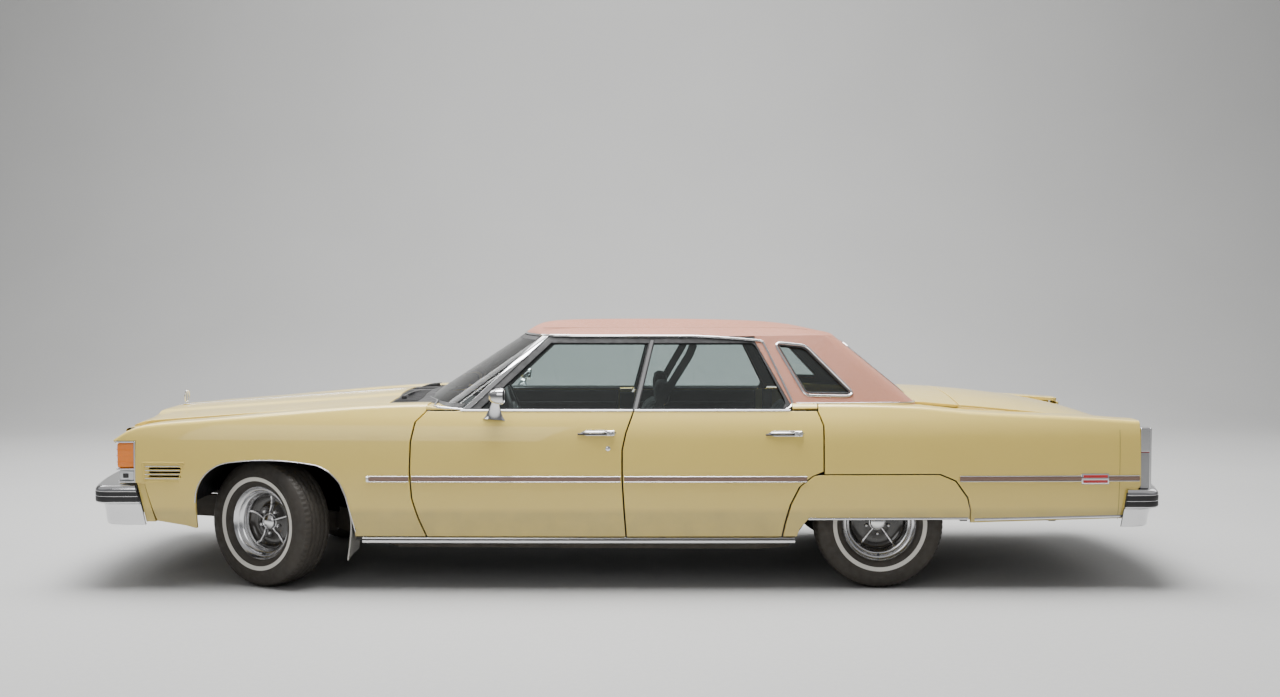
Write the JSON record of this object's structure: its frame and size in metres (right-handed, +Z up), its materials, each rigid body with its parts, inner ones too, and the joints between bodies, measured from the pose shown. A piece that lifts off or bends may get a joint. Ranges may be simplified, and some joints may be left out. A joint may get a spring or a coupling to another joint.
{
  "type": "full-size luxury sedan",
  "caption": "Full-size four-door hardtop luxury sedan with a padded vinyl roof, opening doors and lids, steered front wheels and skirted rear wheels.",
  "frame": {"origin": "on the ground under the middle of the car's length and width", "axes": "+X towards the front bumper, +Y towards the driver's side (left), +Z up"},
  "size_m": [5.903, 2.168, 1.428],
  "materials": {
    "paint": "two-stage gloss enamel",
    "vinyl": "grained vinyl roof covering",
    "glass": "clear curved glass",
    "chrome": "bright plate",
    "rim": "bright and black styled wheel",
    "tyre": "moulded rubber with a thin white band",
    "frame_black": "chassis black",
    "iron": "bare casting",
    "steel": "dull steel",
    "lamp_clear": "moulded clear and amber lens",
    "lamp_red": "moulded red lens",
    "trim_plastic": "grained dark plastic",
    "cloth": "woven seat cloth"
  },
  "bodies": {
    "root": {"bumper_fillers": "paint", "chassis_frame": "frame_black", "dashboard": "trim_plastic", "deck_panel": "paint", "engine": "iron", "exhaust": "steel", "fender_skirts": "paint", "floor_pan": "frame_black", "front_arms": "frame_black", "front_bumper": "chrome", "front_fender_left": "paint", "front_fender_right": "paint", "front_lamps": "lamp_clear", "front_seat": "cloth", "fuel_tank": "steel", "grille": "chrome", "header_panel": "paint", "quarter_left": "paint", "quarter_right": "paint", "rear_axle": "frame_black", "rear_bumper": "chrome", "rear_glass": "glass", "rear_seat": "cloth", "rockers": "frame_black", "roof": "vinyl", "tail_lamps": "lamp_red", "tail_panel": "paint", "windshield": "glass"},
    "front_door_left": {"front_door_left": "paint", "front_glass_left": "glass", "mirror_left": "chrome"},
    "front_door_right": {"front_door_right": "paint", "front_glass_right": "glass", "mirror_right": "chrome"},
    "rear_door_left": {"rear_door_left": "paint", "rear_door_glass_left": "glass"},
    "rear_door_right": {"rear_door_right": "paint", "rear_door_glass_right": "glass"},
    "hood": {"hood": "paint"},
    "trunk_lid": {"trunk_lid": "paint"},
    "steering_wheel": {"steering_wheel": "trim_plastic"},
    "knuckle_left": {"knuckle_left": "frame_black"},
    "knuckle_right": {"knuckle_right": "frame_black"},
    "wheel_front_left": {"wheel_front_left": "rim", "tyre_front_left": "tyre"},
    "wheel_front_right": {"wheel_front_right": "rim", "tyre_front_right": "tyre"},
    "wheel_rear_left": {"wheel_rear_left": "rim", "tyre_rear_left": "tyre"},
    "wheel_rear_right": {"wheel_rear_right": "rim", "tyre_rear_right": "tyre"}
  },
  "joints": [
    {"name": "steer_left", "type": "hinge", "parent": "root", "child": "knuckle_left", "pos_m": [1.8735, 0.697, 0.345], "axis": [0, 0, 1], "range_deg": [-7, 67]},
    {"name": "steer_right", "type": "hinge", "parent": "root", "child": "knuckle_right", "pos_m": [1.8735, -0.697, 0.345], "axis": [0, 0, 1], "range_deg": [-7, 67]},
    {"name": "steering_wheel_turn", "type": "hinge", "parent": "root", "child": "steering_wheel", "pos_m": [0.64, 0.4, 0.905], "axis": [-0.9455, 0, 0.3256], "range_deg": [-130, 1200]},
    {"name": "front_wheel_left_spin", "type": "hinge", "parent": "knuckle_left", "child": "wheel_front_left", "pos_m": [1.931, 0.79659, 0.345], "axis": [0.5, 0.866, 0], "continuous": true},
    {"name": "front_wheel_right_spin", "type": "hinge", "parent": "knuckle_right", "child": "wheel_front_right", "pos_m": [1.816, -0.79659, 0.345], "axis": [0.5, 0.866, 0], "continuous": true},
    {"name": "rear_wheel_left_spin", "type": "hinge", "parent": "root", "child": "wheel_rear_left", "pos_m": [-1.3525, 0.812, 0.345], "axis": [0, 1, 0], "continuous": true},
    {"name": "rear_wheel_right_spin", "type": "hinge", "parent": "root", "child": "wheel_rear_right", "pos_m": [-1.3525, -0.812, 0.345], "axis": [0, 1, 0], "continuous": true},
    {"name": "front_door_left_open", "type": "hinge", "parent": "root", "child": "front_door_left", "pos_m": [1.12, 1, 0.6], "axis": [0, 0, -1], "range_deg": [0, 66]},
    {"name": "front_door_right_open", "type": "hinge", "parent": "root", "child": "front_door_right", "pos_m": [1.12, -1, 0.6], "axis": [0, 0, 1], "range_deg": [0, 66]},
    {"name": "rear_door_left_open", "type": "hinge", "parent": "root", "child": "rear_door_left", "pos_m": [-0.004, 1.008, 0.6], "axis": [0, 0, -1], "range_deg": [0, 68]},
    {"name": "rear_door_right_open", "type": "hinge", "parent": "root", "child": "rear_door_right", "pos_m": [-0.004, -1.008, 0.6], "axis": [0, 0, 1], "range_deg": [0, 68]},
    {"name": "hood_open", "type": "hinge", "parent": "root", "child": "hood", "pos_m": [1.3, 0, 1.018], "axis": [0, -1, 0], "range_deg": [0, 52]},
    {"name": "trunk_lid_open", "type": "hinge", "parent": "root", "child": "trunk_lid", "pos_m": [-1.808, 0, 1.028], "axis": [0, 1, 0], "range_deg": [0, 62]}
  ],
  "couplings": [
    {"joint": "steer_right", "follows": "steer_left", "ratio": 1},
    {"joint": "steering_wheel_turn", "follows": "steer_left", "ratio": 17.6}
  ]
}
